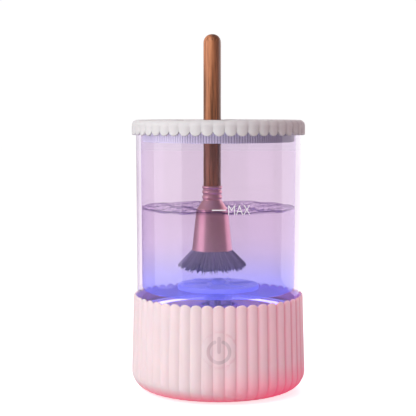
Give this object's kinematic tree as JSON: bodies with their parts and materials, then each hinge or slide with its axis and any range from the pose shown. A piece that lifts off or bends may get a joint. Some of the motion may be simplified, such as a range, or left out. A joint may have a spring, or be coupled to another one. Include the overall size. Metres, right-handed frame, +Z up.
{
  "type": "brush cleaner",
  "caption": "Electric makeup brush cleaner: fluted pink base, clear lift-off cup with a spinning scrub disc, soft scalloped lid and a brush held in it.",
  "frame": {"origin": "centre of the footprint, on the ground under the feet", "axes": "+Z up; -Y is the front, where the power button is; +X is to the right as seen from the front"},
  "size_m": [0.094, 0.094, 0.1912],
  "materials": {
    "base_pink": "soft satin ABS, pale pink",
    "button_pink": "satin ABS, pale pink",
    "icon_grey": "printed grey-mauve",
    "cover_pink": "fine matt texture",
    "cup_clear": "clear lavender-tinted plastic",
    "lid_silicone": "matt warm grey silicone",
    "ring_blue": "satin blue-grey",
    "diffuser_white": "milky translucent",
    "silicone_white": "matt silicone",
    "board_green": "solder-mask green",
    "led_yellow": "moulded package",
    "steel": "plated steel",
    "motor_steel": "zinc-plated can",
    "nylon_black": "moulded nylon",
    "bronze": "sintered bronze",
    "magnet": "ferrite",
    "copper": "copper",
    "nylon_white": "moulded acetal",
    "bracket_grey": "glass-filled nylon",
    "battery_wrap": "shrink-wrapped cell",
    "chip_black": "moulded package",
    "lead_red": "insulated wire",
    "disc_lilac": "satin plastic",
    "walnut": "lacquered walnut",
    "rose_metal": "polished rose-gold anodised",
    "bristle_grey": "fine synthetic filament"
  },
  "bodies": {
    "base": {"base_shell": "base_pink", "light_diffuser": "diffuser_white", "seat_ring": "silicone_white", "led_board": "board_green", "leds": "led_yellow", "motor_can": "motor_steel", "motor_end_cap": "nylon_black", "motor_bearings": "bronze", "motor_magnets": "magnet", "motor_contacts": "copper", "motor_bracket": "bracket_grey", "bracket_screws": "steel", "motor_screws": "steel", "battery_cell": "battery_wrap", "battery_cradle": "nylon_black", "charge_board": "board_green", "board_screws": "steel", "usb_socket": "steel", "control_board": "board_green", "board_chips": "chip_black", "tact_switch": "chip_black", "motor_leads": "lead_red", "battery_leads": "lead_red", "bottom_cover": "cover_pink", "foot_pads": "silicone_white", "cover_screws": "steel"},
    "rotor": {"motor_shaft": "steel", "motor_armature": "magnet", "commutator": "copper", "drive_dog": "nylon_white"},
    "button": {"power_button": "button_pink", "power_icon": "icon_grey", "switch_plunger": "nylon_white"},
    "cup": {"cup": "cup_clear", "shaft_bush": "nylon_white", "shaft_seal": "silicone_white"},
    "impeller": {"impeller_shaft": "steel", "driven_dog": "nylon_white", "scrub_disc": "disc_lilac", "disc_nut": "disc_lilac"},
    "lid": {"lid_cap": "lid_silicone", "lid_ring": "ring_blue"},
    "brush": {"brush_handle": "walnut", "brush_ferrule": "rose_metal", "brush_bristles": "bristle_grey"}
  },
  "joints": [
    {"name": "cup_lift", "type": "slide", "parent": "base", "child": "cup", "axis": [0, 0, 1], "range_m": [0, 0.06]},
    {"name": "lid_lift", "type": "slide", "parent": "cup", "child": "lid", "axis": [0, 0, 1], "range_m": [0, 0.1]},
    {"name": "brush_slide", "type": "slide", "parent": "lid", "child": "brush", "axis": [0, 0, 1], "range_m": [-0.003, 0.03]},
    {"name": "motor_spin", "type": "hinge", "parent": "base", "child": "rotor", "pos_m": [0, 0, 0.02], "axis": [0, 0, 1], "continuous": true},
    {"name": "disc_spin", "type": "hinge", "parent": "cup", "child": "impeller", "pos_m": [0, 0, 0.055], "axis": [0, 0, 1], "continuous": true},
    {"name": "button_press", "type": "slide", "parent": "base", "child": "button", "axis": [0, 1, 0], "range_m": [0, 0.0006], "stiffness_N_per_m": 2500, "springref_m": -0.0002}
  ],
  "couplings": [
    {"joint": "disc_spin", "follows": "motor_spin", "ratio": 1}
  ]
}
